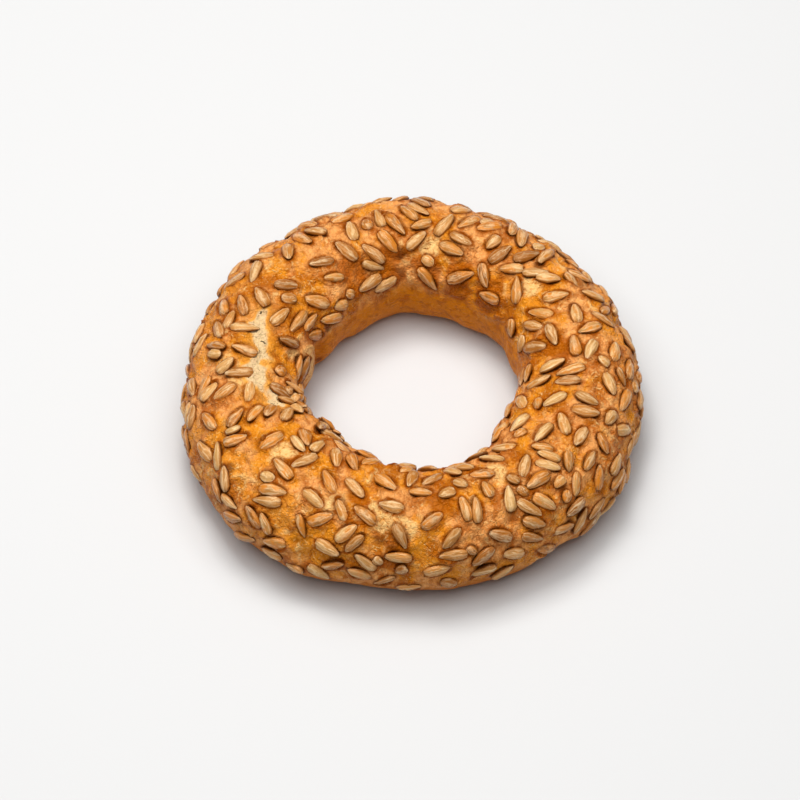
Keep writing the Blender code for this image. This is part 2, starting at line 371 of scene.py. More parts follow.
@dataclass
class KernelBed:
    """Where the kernels lie: the solid's own, more in the gaps, and a heap at the inner rim."""

    form: DoughForm
    solid_sowing: Sowing = Sowing(
        seed=11,
        count=250,
        tries=12000,
        length=(0.0094, 0.0109),
        width=(0.0043, 0.0051),
        thickness=(0.0025, 0.0031),
        broken_share=0.07,
        sunk=(0.27, 0.40),
        pitch=math.radians(9),
        roll=math.radians(16),
        gap=(-0.0008, 0.0003),
    )
    fine_sowing: Sowing = Sowing(
        seed=23,
        count=95,
        tries=6000,
        length=(0.0080, 0.0100),
        width=(0.0036, 0.0045),
        thickness=(0.0022, 0.0027),
        broken_share=0.30,
        sunk=(0.12, 0.34),
        pitch=math.radians(15),
        roll=math.radians(24),
        gap=(-0.0018, -0.0004),
    )
    heap_sowing: Sowing = Sowing(
        seed=7,
        count=13,
        tries=400,
        length=(0.0060, 0.0086),
        width=(0.0034, 0.0042),
        thickness=(0.0022, 0.0027),
        broken_share=0.35,
        sunk=(-0.25, 0.20),
        pitch=math.radians(30),
        roll=math.radians(40),
        gap=(-0.0030, -0.0012),
        bearings=(math.radians(188), math.radians(222)),
        sections=(math.radians(126), math.radians(172)),
    )
    broken_length: tuple[float, float] = (0.50, 0.72)
    directions: int = 7
    neighbourhood: float = 0.0130
    split_clearance: float = 0.0034
    wall_heading: float = math.radians(38)
    widest_reach: float = 0.080
    sparse_bearing: float = math.radians(150)
    sparse_share: float = 0.30
    bare_outside: tuple[float, float, float] = (0.0100, 0.0028, math.radians(215))
    bare_inside: tuple[float, float, float] = (0.0215, 0.0022, math.radians(40))
    bare_ripple: float = 0.0012
    bare_waves: tuple[int, int] = (9, 4)

    def bare_line(self, bearing: float, inside: bool) -> float:
        """The level under which the wall has no kernels.

        Args:
            bearing: The angle round the ring.
            inside: Whether the wall is the inner one.

        Returns:
            The level, in metres above the foot.
        """
        level, swing, highest = self.bare_inside if inside else self.bare_outside
        fast, slow = self.bare_waves
        ripple = self.bare_ripple * math.sin(fast * bearing) * math.cos(slow * bearing)
        return level + swing * math.cos(bearing - highest) + ripple

    def likelihood(self, point: Vector, bearing: float) -> float:
        """The chance that a place drawn is used, so that kernels lie evenly but for one side."""
        sparse = self.sparse_share * max(0.0, math.cos(bearing - self.sparse_bearing))
        return math.hypot(point.x, point.y) / self.widest_reach * (1.0 - sparse)

    def covers(self, point: Vector, bearing: float, section: float) -> bool:
        """Whether kernels lie here: over the crest, above the bare walls, off the split."""
        above = point.z > self.bare_line(bearing, math.cos(section) < 0.0)
        return above and self.form.split_gap(bearing, section) > self.split_clearance

    def headings(self, share: float, section: float) -> Iterator[float]:
        """Directions to try for a kernel: any on the crest, nearly along the ring on a wall.

        Args:
            share: Which way to start, from 0 to 1.
            section: The kernel's section angle.

        Yields:
            Angles from the way round the ring.
        """
        flatness = max(0.0, math.sin(section)) ** 2
        reach = self.wall_heading + (math.pi / 2.0 - self.wall_heading) * flatness
        for turn in range(self.directions):
            yield reach * (2.0 * ((share + turn / self.directions) % 1.0) - 1.0)

    def sow(self, sowing: Sowing, bed: list[Kernel]) -> None:
        """Draws places at random, and keeps each that lies clear of the kernels in the bed.

        Args:
            sowing: The round's sizes and its seed.
            bed: The kernels so far, which the round adds to.
        """
        draw = random.Random(sowing.seed)
        most = len(bed) + sowing.count
        for _ in range(sowing.tries):
            if len(bed) == most:
                break
            bearing = draw.uniform(*sowing.bearings)
            section = draw.uniform(*sowing.sections)
            heading, flip, keep, broken = (draw.random() for _ in range(4))
            length = draw.uniform(*sowing.length)
            shortened = length * draw.uniform(*self.broken_length)
            width, thickness = draw.uniform(*sowing.width), draw.uniform(*sowing.thickness)
            tilt = (draw.gauss(0.0, sowing.pitch / 2.0), draw.gauss(0.0, sowing.roll / 2.0))
            sunk, gap = draw.uniform(*sowing.sunk), draw.uniform(*sowing.gap)
            point, normal, onward = self.form.frame_at(bearing, section)
            if keep > self.likelihood(point, bearing):
                continue
            if not self.covers(point, bearing, section):
                continue
            whole = broken >= sowing.broken_share
            size = (length if whole else shortened, width, thickness)
            side = normal.cross(onward) * (1.0 if flip < 0.5 else -1.0)
            onward = onward * (1.0 if flip < 0.5 else -1.0)
            near = [old for old in bed if (old.middle - point).length < self.neighbourhood]
            best, best_gap = None, gap
            for angle in self.headings(heading, section):
                along = onward * math.cos(angle) + side * math.sin(angle)
                kernel = Kernel(point, normal, along, size, tilt, sunk, whole)
                clear = min((kernel.gap_to(old) for old in near), default=gap)
                if clear > best_gap or best is None and clear == gap:
                    best, best_gap = kernel, clear
            if best:
                bed.append(best)

    def kernels(self) -> list[Kernel]:
        """Every kernel on the ring."""
        bed: list[Kernel] = []
        for sowing in (self.solid_sowing, self.fine_sowing, self.heap_sowing):
            self.sow(sowing, bed)
        return bed


@dataclass(frozen=True)
class Cloud:
    """A cloudy noise: the size of its largest clouds, its finer layers, and its swirl.

    Between two levels it eases from 0 to 1. Without them it stays as it is.
    """

    grain: float
    detail: float = 4.0
    roughness: float = 0.55
    swirl: float = 0.0
    levels: Levels | None = None


@dataclass(frozen=True)
class Coat:
    """How strongly a colour is laid on, and the levels of what it follows where it comes in."""

    strength: float
    levels: Levels | None = None


@dataclass(frozen=True)
class Surface:
    """How a finish takes the light: the depth of its fine relief, and what it reflects."""

    depth: float
    specular: float
    sheen: tuple[float, float, float, float]


class Shading:
    """A material's nodes, with short ways to add those that the finishes share."""

    def __init__(self, name: str) -> None:
        """Starts a material that has a Principled shader and reads Object coordinates.

        Args:
            name: The material's name.
        """
        self.material = bpy.data.materials.new(name)
        self.material.use_nodes = True
        self.tree = self.material.node_tree
        self.shader = self.tree.nodes["Principled BSDF"]
        self.place = self.tree.nodes.new("ShaderNodeTexCoord").outputs["Object"]

    def put(self, kind: str, inputs: dict, **settings: object) -> bpy.types.Node:
        """Adds a node.

        Args:
            kind: The node's type.
            inputs: Sockets to join or values to set, by the input's name or number.
            **settings: The node's own settings.

        Returns:
            The node.
        """
        node = self.tree.nodes.new(kind)
        for name, value in settings.items():
            setattr(node, name, value)
        for key, value in inputs.items():
            if isinstance(value, Socket):
                self.tree.links.new(value, node.inputs[key])
            else:
                node.inputs[key].default_value = value
        return node

    def attribute(self, name: str) -> bpy.types.Node:
        """The node that reads one of the mesh's own attributes."""
        return self.put("ShaderNodeAttribute", {}, attribute_name=name)

    def stretched(self, place: Socket, scale: tuple[float, float, float]) -> Socket:
        """Coordinates multiplied axis by axis."""
        node = self.put("ShaderNodeMapping", {"Vector": place, "Scale": scale})
        return node.outputs["Vector"]

    def cloud(self, place: Socket, cloud: Cloud) -> Socket:
        """Cloudy noise.

        Args:
            place: The coordinates.
            cloud: The noise's sizes, in the coordinates' own unit.

        Returns:
            The noise from 0 to 1, or how far it is between its levels.
        """
        inputs = {
            "Vector": place,
            "Scale": 1.0 / cloud.grain,
            "Detail": cloud.detail,
            "Roughness": cloud.roughness,
            "Distortion": cloud.swirl,
        }
        value = self.put("ShaderNodeTexNoise", inputs).outputs["Fac"]
        return self.step(value, cloud.levels) if cloud.levels else value

    def cracks(self, place: Socket, cell: float) -> Socket:
        """The borders of uneven cells.

        Args:
            place: The coordinates.
            cell: The size of the cells, in the coordinates' own unit.

        Returns:
            The distance to the nearest border, in cells.
        """
        inputs = {"Vector": place, "Scale": 1.0 / cell}
        node = self.put("ShaderNodeTexVoronoi", inputs, feature="DISTANCE_TO_EDGE")
        return node.outputs["Distance"]

    def wavered(self, place: Socket, grain: float, far: float) -> Socket:
        """Coordinates pushed about by noise.

        Args:
            place: The coordinates.
            grain: The size of the noise's clouds.
            far: How far it pushes.

        Returns:
            The pushed coordinates.
        """
        inputs = {"Vector": place, "Scale": 1.0 / grain, "Detail": 2.0}
        cloud = self.put("ShaderNodeTexNoise", inputs).outputs["Color"]
        pushed = self.put(
            "ShaderNodeVectorMath",
            {0: cloud, 1: (far, far, far), 2: place},
            operation="MULTIPLY_ADD",
        )
        return pushed.outputs["Vector"]

    def step(self, value: Socket, levels: Levels) -> Socket:
        """Eases a value from 0 to 1.

        Args:
            value: The value.
            levels: Where it becomes 0, and where it becomes 1.

        Returns:
            The eased value.
        """
        inputs = {"Value": value, "From Min": levels[0], "From Max": levels[1]}
        node = self.put("ShaderNodeMapRange", inputs, interpolation_type="SMOOTHSTEP")
        return node.outputs["Result"]

    def reckon(self, operation: str, *numbers: object) -> Socket:
        """Does a sum on numbers, and keeps the result from 0 to 1.

        Args:
            operation: The sum to do.
            *numbers: The numbers, as sockets or values.

        Returns:
            The result.
        """
        inputs = dict(enumerate(numbers))
        node = self.put("ShaderNodeMath", inputs, operation=operation, use_clamp=True)
        return node.outputs["Value"]

    def times(self, first: object, second: object) -> Socket:
        """Two shares multiplied."""
        return self.reckon("MULTIPLY", first, second)

    def plus(self, first: object, second: object) -> Socket:
        """Two shares added."""
        return self.reckon("ADD", first, second)

    def most(self, first: object, second: object) -> Socket:
        """The larger of two shares."""
        return self.reckon("MAXIMUM", first, second)

    def rest(self, share: Socket) -> Socket:
        """What a share leaves of the whole."""
        return self.reckon("SUBTRACT", 1.0, share)

    def coat(self, value: Socket, coat: Coat) -> Socket:
        """A coat's share at each point, by the value that it follows."""
        return self.times(self.step(value, coat.levels) if coat.levels else value, coat.strength)

    def blend(self, share: object, first: object, second: object) -> Socket:
        """One colour laid over another by a share."""
        node = self.put("ShaderNodeMix", {0: share, 6: first, 7: second}, data_type="RGBA")
        return node.outputs[2]

    def layered(self, colour: object, *coats: tuple[Socket, object]) -> Socket:
        """Colours laid one over another.

        Args:
            colour: The lowest colour.
            *coats: The share and the colour of each coat, from the lowest up.

        Returns:
            The colour that shows.
        """
        for share, laid in coats:
            colour = self.blend(share, colour, laid)
        return colour

    def finish(
        self, colour: Socket, roughness: object, height: Socket, surface: Surface
    ) -> bpy.types.Material:
        """Joins the last sockets to the shader.

        Args:
            colour: The surface's colour.
            roughness: The surface's roughness, a socket or a number.
            height: The height of the fine relief, from 0 to 1.
            surface: How the surface takes the light.

        Returns:
            The finished material.
        """
        self.shader.inputs["Specular IOR Level"].default_value = surface.specular
        self.shader.inputs["Specular Tint"].default_value = surface.sheen
        bump = self.put(
            "ShaderNodeBump", {"Height": height, "Distance": surface.depth, "Strength": 1.0}
        )
        self.tree.links.new(bump.outputs["Normal"], self.shader.inputs["Normal"])
        self.tree.links.new(colour, self.shader.inputs["Base Color"])
        if isinstance(roughness, Socket):
            self.tree.links.new(roughness, self.shader.inputs["Roughness"])
        else:
            self.shader.inputs["Roughness"].default_value = roughness
        return self.material


class CrustLayer(Enum):
    """What the crust's own attributes say about each point, as shares from 0 to 1."""

    # Beside a kernel: glaze pooled there, and painted shade.
    KERNEL_SIDE_POOL_AND_SHADE = "kernel_side_pool_and_shade"
    BARE_WALL = "bare_wall"
    INNER_WALL = "inner_wall"
    TORN = "torn"
    HALO = "halo"
    FOLD = "fold"
    GOLDEN = "golden"
    AMBER = "amber"
    PALE = "pale"
    SCORCHED = "scorched"


@dataclass(frozen=True)
class CrustFinish:
    """Egg-washed crust: amber glaze and matt pinkish dough in patches, and plainer walls."""

    glazed: tuple = linear(220, 136, 30)
    amber: tuple = linear(158, 74, 0)
    matt: tuple = linear(228, 156, 88)
    rosy: tuple = linear(200, 116, 50)
    cream: tuple = linear(236, 194, 126)
    wall: tuple = linear(178, 100, 4)
    inner: tuple = linear(206, 120, 0)
    crumb: tuple = linear(206, 178, 130)
    husk: tuple = linear(224, 190, 146)
    gold: tuple = linear(226, 154, 62)
    # Painted glints: a bright colour laid on grain flecks in place of highlights on the wet glaze.
    painted_glint: tuple = linear(250, 222, 164)
    caramel: tuple = linear(98, 38, 0)
    fleck: tuple = linear(84, 70, 48)
    surface: Surface = Surface(1.5 * MM, 0.20, (1.0, 0.72, 0.20, 1.0))
    roughness: Levels = (0.18, 0.54)
    wander: tuple[float, float] = (3.0 * MM, 1.6 * MM)
    patches: Cloud = Cloud(17 * MM, 5.0, 0.60, 0.6, (0.41, 0.55))
    deep: Cloud = Cloud(10 * MM, levels=(0.50, 0.64))
    deep_stretch: tuple[float, float, float] = (1.1, 0.9, 1.0)
    mottle: Cloud = Cloud(3.2 * MM, 4.0, 0.60, 0.5, (0.46, 0.64))
    rough: Cloud = Cloud(7 * MM, 2.0, 0.5, 0.8, (0.46, 0.60))
    wrinkles: Cloud = Cloud(2.0 * MM, 3.0, 0.58, 1.2)
    lows: Levels = (0.48, 0.34)
    highs: Levels = (0.54, 0.68)
    grains: Cloud = Cloud(0.9 * MM, 4.0, 0.72)
    crackle_cell: float = 1.6 * MM
    crackle: Levels = (0.0, 0.16)
    streaks: Cloud = Cloud(9 * MM, 6.0, 0.7, levels=(0.40, 0.60))
    streak_stretch: tuple[float, float, float] = (1.0, 1.0, 9.0)
    spots: Cloud = Cloud(5 * MM, 4.0, 0.6, levels=(0.66, 0.78))
    flecks: Cloud = Cloud(1.4 * MM, 2.0, 0.5, levels=(0.64, 0.68))
    fleck_edge: Levels = (0.5, 0.9)
    golden_coat: Coat = Coat(0.85)
    rosy_coat: Coat = Coat(0.45)
    deep_coat: Coat = Coat(0.74)
    mottle_coat: Coat = Coat(0.30)
    # Wrinkles' hollows: pooled glaze and painted shade; their crests: painted light.
    pooled_glaze_and_shade_coats: tuple[float, float] = (0.40, 0.22)
    painted_crest_light_coats: tuple[float, float] = (0.55, 0.20)
    line_coat: Coat = Coat(0.10)
    speck_coat: Coat = Coat(0.16, (0.54, 0.68))
    painted_glint_coat: Coat = Coat(0.42, (0.42, 0.30))
    fold_coat: Coat = Coat(0.55)
    streak_coat: Coat = Coat(0.70)
    # Each wall's second coat is painted light: gold on the wrinkles' crests.
    wall_coats: tuple[Coat, Coat] = (Coat(0.40), Coat(0.30))
    inner_coats: tuple[Coat, Coat] = (Coat(0.60), Coat(0.45))
    amber_coat: Coat = Coat(0.80)
    pale_coat: Coat = Coat(0.85, (0.28, 0.56))
    # Amber and caramel beside each kernel: pooled glaze, and painted shade at the kernel's edge.
    pool_and_shade_lift: float = 0.50
    close_pool_and_shade_coat: Coat = Coat(0.50, (0.60, 1.0))
    spot_coat: Coat = Coat(0.7)
    burnt_coat: Coat = Coat(0.75)
    halo_coat: Coat = Coat(0.60)
    torn_lift: float = 0.35
    torn_bank: Levels = (0.0, 0.40)
    torn_bed: Levels = (0.24, 0.78)
    husk_levels: Levels = (0.35, 0.65)
    wrinkle_height: float = 0.62
    grain_height: float = 0.26
    crackle_height: float = 0.12
    wall_calm: float = 0.35

    def material(self) -> bpy.types.Material:
        """Builds the crust's material."""
        return CrustShading(self).dressed()


class CrustShading(Shading):
    """The crust's nodes: the noises that its coats share, and the coats in their order."""

    def __init__(self, look: CrustFinish) -> None:
        """Adds the crust's own attributes and its noises.

        Args:
            look: The crust's colours, noises and coats.
        """
        super().__init__("crust")
        self.look = look
        self.layer = {kind: self.attribute(kind.value).outputs["Fac"] for kind in CrustLayer}
        bent = self.wavered(self.place, *look.wander)
        glaze = self.coat(self.layer[CrustLayer.GOLDEN], look.golden_coat)
        self.patches = self.times(self.cloud(bent, look.patches), self.rest(glaze))
        self.deep = self.cloud(self.stretched(bent, look.deep_stretch), look.deep)
        self.mottle = self.cloud(bent, look.mottle)
        self.rough = self.cloud(self.place, look.rough)
        self.wrinkles = self.cloud(bent, look.wrinkles)
        self.grains = self.cloud(self.place, look.grains)
        self.crackle = self.step(self.cracks(bent, look.crackle_cell), look.crackle)
        # The wrinkles' hollows, for pooled glaze and painted shade, and their crests, for painted
        # light.
        self.pooled_glaze_and_shade = self.step(self.wrinkles, look.lows)
        self.painted_crest_light = self.step(self.wrinkles, look.highs)
        self.plain = self.most(
            self.layer[CrustLayer.BARE_WALL], self.layer[CrustLayer.INNER_WALL]
        )

    def roughened(self, value: Socket, coats: tuple[float, float]) -> Socket:
        """A coat's share where it is stronger on rough crust, with what it adds there first."""
        added, least = coats
        return self.times(value, self.plus(self.times(self.rough, added), least))

    def dough(self) -> Socket:
        """Colours the open crust: glaze and matt patches, pooled glaze, painted shade, light and
        glints.

        Returns:
            The colour.
        """
        look = self.look
        blush = self.blend(self.coat(self.mottle, look.rosy_coat), look.matt, look.rosy)
        lines = self.times(self.rest(self.crackle), self.rough)
        folds = self.times(self.layer[CrustLayer.FOLD], self.coat(self.rough, look.fold_coat))
        return self.layered(
            self.blend(self.patches, look.glazed, blush),
            (self.coat(self.deep, look.deep_coat), look.amber),
            (self.coat(self.mottle, look.mottle_coat), look.amber),
            # Amber in the wrinkles' hollows is pooled glaze and painted shade; cream on their crests
            # is painted light.
            (self.roughened(self.pooled_glaze_and_shade, look.pooled_glaze_and_shade_coats), look.amber),
            (self.roughened(self.painted_crest_light, look.painted_crest_light_coats), look.cream),
            (self.coat(lines, look.line_coat), look.caramel),
            (self.coat(self.grains, look.speck_coat), look.amber),
            # Painted glints on the grain's flecks.
            (self.coat(self.grains, look.painted_glint_coat), look.painted_glint),
            (folds, look.cream),
        )

    def walls(self, colour: Socket) -> Socket:
        """The bare walls laid over the crust: streaked outside, golden inside, with painted light.

        Args:
            colour: The colour so far.

        Returns:
            The colour with these laid over it.
        """
        look = self.look
        streaks = self.cloud(self.stretched(self.place, look.streak_stretch), look.streaks)
        wall = self.blend(self.coat(streaks, look.streak_coat), look.wall, look.rosy)
        sides = (
            (CrustLayer.BARE_WALL, wall, look.wall_coats),
            (CrustLayer.INNER_WALL, look.inner, look.inner_coats),
        )
        # The second coat, gold on the wrinkles' crests, is painted light.
        for layer, base, (dark, light) in sides:
            side = self.layered(
                base,
                (self.coat(self.mottle, dark), look.amber),
                (self.coat(self.painted_crest_light, light), look.gold),
            )
            colour = self.blend(self.layer[layer], colour, side)
        return colour

    def marks(self, colour: Socket) -> Socket:
        """The large patches, pooled glaze and painted shade beside each kernel, and the burnt spots.

        Args:
            colour: The colour so far.

        Returns:
            The colour with these laid over it.
        """
        look = self.look
        pale = self.times(self.layer[CrustLayer.PALE], self.coat(self.wrinkles, look.pale_coat))
        beside = self.layer[CrustLayer.KERNEL_SIDE_POOL_AND_SHADE]
        spots = self.coat(self.cloud(self.place, look.spots), look.spot_coat)
        burnt = self.plus(spots, self.layer[CrustLayer.SCORCHED])
        return self.layered(
            colour,
            (self.coat(self.layer[CrustLayer.AMBER], look.amber_coat), look.amber),
            (pale, look.cream),
            # Beside each kernel: amber for pooled glaze and painted shade, caramel at its edge for
            # painted shade.
            (self.times(beside, self.plus(self.mottle, look.pool_and_shade_lift)), look.amber),
            (self.coat(beside, look.close_pool_and_shade_coat), look.caramel),
            (self.coat(burnt, look.burnt_coat), look.caramel),
        )

    def valley(self, colour: Socket) -> Socket:
        """The torn valley: its golden banks, the crumb in it, and dark flecks.

        Args:
            colour: The colour so far.

        Returns:
            The colour with these laid over it.
        """
        look = self.look
        torn = self.layer[CrustLayer.TORN]
        ragged = self.times(torn, self.plus(self.wrinkles, look.torn_lift))
        crumb = self.blend(self.step(self.grains, look.husk_levels), look.crumb, look.husk)
        flecks = self.times(self.cloud(self.place, look.flecks), self.step(torn, look.fleck_edge))
        return self.layered(
            colour,
            (self.coat(self.layer[CrustLayer.HALO], look.halo_coat), look.gold),
            (self.step(ragged, look.torn_bank), look.gold),
            (self.step(ragged, look.torn_bed), crumb),
            (flecks, look.fleck),
        )

    def relief(self) -> Socket:
        """Joins the wrinkles, grains and cracks into one relief, lower on the bare walls.

        Returns:
            The height, from 0 to 1.
        """
        look = self.look
        height = self.times(self.wrinkles, look.wrinkle_height)
        height = self.plus(height, self.times(self.grains, look.grain_height))
        height = self.plus(height, self.times(self.crackle, look.crackle_height))
        return self.times(height, self.rest(self.times(self.plain, look.wall_calm)))

    def dressed(self) -> bpy.types.Material:
        """Lays every coat, and joins the colour, gloss and relief to the shader.

        Returns:
            The crust's material.
        """
        colour = self.valley(self.marks(self.walls(self.dough())))
        dull = self.most(self.most(self.patches, self.plain), self.layer[CrustLayer.TORN])
        smoothest, roughest = self.look.roughness
        inputs = {"Value": dull, "To Min": smoothest, "To Max": roughest}
        gloss = self.put("ShaderNodeMapRange", inputs).outputs["Result"]
        return self.finish(colour, gloss, self.relief(), self.look.surface)


@dataclass(frozen=True)
class KernelFinish:
    """Baked sunflower kernels: tan, browner rims, orange glaze on some, painted highlights and shade.
    """

    tan: tuple = linear(180, 122, 58)
    pale: tuple = linear(204, 158, 96)
    # Painted highlight colour, laid along the kernels' ridges and brims.
    lit: tuple = linear(250, 226, 180)
    # A toasted brown, also laid as painted shade on the flanks, hollows and rims.
    browned_and_shade: tuple = linear(146, 84, 24)
    glazed: tuple = linear(198, 118, 32)
    nib: tuple = linear(236, 200, 152)
    groove: tuple = linear(118, 62, 8)
    # Painted shade at a kernel's underside, with glaze pooled at its foot.
    under: tuple = linear(86, 38, 2)
    surface: Surface = Surface(0.65 * MM, 0.55, (1.0, 0.82, 0.50, 1.0))
    roughness: float = 0.20
    ridges: Cloud = Cloud(1.0, 3.0, 0.60, 0.6)
    ridge_stretch: tuple[float, float, float] = (0.7, 2.0, 1.0)
    blotches: Cloud = Cloud(0.8, 3.0, 0.6)
    blotch_stretch: tuple[float, float, float] = (1.2, 0.8, 0.8)
    fine: Cloud = Cloud(0.7 * MM, 3.0, 0.7)
    sway: float = 2.4
    spine: Coat = Coat(0.8, (0.55, 0.05))
    brim_rise: Levels = (0.55, 0.72)
    brim: Coat = Coat(0.45, (0.95, 0.80))
    raised_where: Levels = (0.64, 0.44)
    pale_tints: Levels = (0.35, 0.95)
    brown_tints: Levels = (0.35, 0.0)
    hollow_shade_coat: Coat = Coat(0.25)
    end_coat: Coat = Coat(0.45, (0.62, 1.0))
    nib_coat: Coat = Coat(0.7, (0.55, 0.95))
    nib_where: Levels = (0.40, 0.55)
    groove_coat: Coat = Coat(0.20, (0.54, 0.70))
    rim_toast_and_shade_coat: Coat = Coat(0.50, (0.62, 0.95))
    grain_coat: Coat = Coat(0.20, (0.55, 0.75))
    glaze_where: Levels = (0.38, 0.56)
    crest_coat: Coat = Coat(0.8)
    crest_where: Levels = (0.42, 0.30)
    painted_highlight_coat: Coat = Coat(0.46)
    flank_shade_coat: Coat = Coat(0.65, (0.62, 0.10))
    under_shade_coat: Coat = Coat(0.88, (0.28, -0.25))
    hollow_height: float = 0.50
    raised_height: float = 0.20
    fine_height: float = 0.30

    def material(self) -> bpy.types.Material:
        """Builds the material.

        Returns:
            The kernels' material.
        """
        make = Shading("kernels")
        own = make.attribute("kernel_place").outputs["Vector"]
        look = make.attribute("kernel_look").outputs["Vector"]
        tint, glaze = make.put("ShaderNodeSeparateXYZ", {0: look}).outputs[:2]
        along, across, up = make.put("ShaderNodeSeparateXYZ", {0: own}).outputs
        moved = make.put("ShaderNodeVectorMath", {0: own, 1: look}, operation="ADD")
        moved = moved.outputs["Vector"]
        ridges = make.cloud(make.stretched(moved, self.ridge_stretch), self.ridges)
        blotches = make.cloud(make.stretched(moved, self.blotch_stretch), self.blotches)
        fine = make.cloud(make.place, self.fine)
        rim, end = make.reckon("ABSOLUTE", across), make.reckon("ABSOLUTE", along)
        raised = self.raised(make, across, rim, ridges, blotches)
        nib = make.times(make.coat(along, self.nib_coat), make.step(blotches, self.nib_where))
        crests = make.most(make.coat(raised, self.crest_coat), make.step(ridges, self.crest_where))
        colour = make.layered(
            make.blend(make.step(tint, self.pale_tints), self.tan, self.pale),
            (make.step(tint, self.brown_tints), self.browned_and_shade),
            # Painted shade off the raised ridges and brim.
            (make.coat(make.rest(raised), self.hollow_shade_coat), self.browned_and_shade),
            (make.coat(end, self.end_coat), self.browned_and_shade),
            (nib, self.nib),
            (make.coat(ridges, self.groove_coat), self.groove),
            # Browner rims: partly toasting, partly painted shade that rounds each kernel.
            (make.coat(rim, self.rim_toast_and_shade_coat), self.browned_and_shade),
            (make.coat(fine, self.grain_coat), self.groove),
            (make.times(make.step(blotches, self.glaze_where), glaze), self.glazed),
            # Painted highlights along the ridges and brim.
            (make.coat(crests, self.painted_highlight_coat), self.lit),
            # Painted shade: browner down the flanks, darkest at the underside, where glaze also
            # pools.
            (make.coat(up, self.flank_shade_coat), self.browned_and_shade),
            (make.coat(up, self.under_shade_coat), self.under),
        )
        height = make.times(make.rest(ridges), self.hollow_height)
        height = make.plus(height, make.times(raised, self.raised_height))
        height = make.plus(height, make.times(fine, self.fine_height))
        return make.finish(colour, self.roughness, height, self.surface)

    def raised(
        self, make: Shading, across: Socket, rim: Socket, ridges: Socket, blotches: Socket
    ) -> Socket:
        """Where a kernel's wandering middle ridge and its brim stand up.

        Args:
            make: The material's nodes.
            across: The place across the kernel, from -1 to 1.
            rim: The same place without its sign.
            ridges: The noise that breaks the ridges.
            blotches: The noise that makes the middle ridge wander.

        Returns:
            A share from 0 to 1.
        """
        swayed = make.put(
            "ShaderNodeMath", {0: blotches, 1: self.sway, 2: across}, operation="MULTIPLY_ADD"
        )
        aside = make.put(
            "ShaderNodeMath", {0: swayed.outputs[0], 1: self.sway / 2.0}, operation="SUBTRACT"
        )
        spine = make.coat(make.reckon("ABSOLUTE", aside.outputs[0]), self.spine)
        brim = make.times(make.step(rim, self.brim_rise), make.coat(rim, self.brim))
        return make.times(make.most(spine, brim), make.step(ridges, self.raised_where))


@dataclass(frozen=True)
class FloorFinish:
    """A plain pale floor."""

    colour: tuple = (0.56, 0.56, 0.56, 1.0)
    roughness: float = 0.75

    def material(self) -> bpy.types.Material:
        """Builds the material.

        Returns:
            The floor's material.
        """
        make = Shading("floor")
        make.shader.inputs["Base Color"].default_value = self.colour
        make.shader.inputs["Roughness"].default_value = self.roughness
        return make.material


def lay_down(piece: bpy.types.Object, material: bpy.types.Material) -> None:
    """Gives a finished piece its material and body, and hides the solid that it stands for.

    Args:
        piece: The piece, with its place in its mesh.
        material: Its finish.
    """
    piece.data.materials.clear()
    piece.data.materials.append(material)
    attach(piece, BODY)
    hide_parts(NODE)
    log.info("%s: %d faces", piece.name, len(piece.data.polygons))


def in_edit_mode(piece: bpy.types.Object, work: Callable[[], None]) -> None:
    """Runs operators on all of a piece's mesh in edit mode.

    Args:
        piece: The piece, which becomes the only one selected.
        work: What to do there.
    """
    bpy.ops.object.select_all(action="DESELECT")
    piece.select_set(True)
    bpy.context.view_layer.objects.active = piece
    bpy.ops.object.mode_set(mode="EDIT")
    bpy.ops.mesh.select_all(action="SELECT")
    work()
    bpy.ops.object.mode_set(mode="OBJECT")


@dataclass(frozen=True)
class Patch:
    """A ragged patch of crust that differs from what is round it.

    The bearing and the section angle are in degrees, and the radius in millimetres.
    """

    layer: CrustLayer
    bearing: float
    section: float
    radius: float

    RAGGED = 0.7
    GRAIN = 4.0 * MM
    FADE = 0.5

    def share(self, form: DoughForm, bearing: float, section: float, point: Vector) -> float:
        """How much of the patch a point of the dough has.

        Args:
            form: The dough's form.
            bearing: The point's bearing.
            section: The point's section angle.
            point: The point.

        Returns:
            A share from 0 to 1.
        """
        gap = math.hypot(
            turned(bearing - math.radians(self.bearing)) * form.around("radius", bearing),
            turned(section - math.radians(self.section)) * form.around("half_width", bearing),
        )
        radius = self.radius * MM
        if gap > 2.0 * radius:
            return 0.0
        edge = radius * (1.0 + self.RAGGED * noise.noise(point / self.GRAIN))
        return smooth((edge - gap) / (self.FADE * radius) + 0.5)


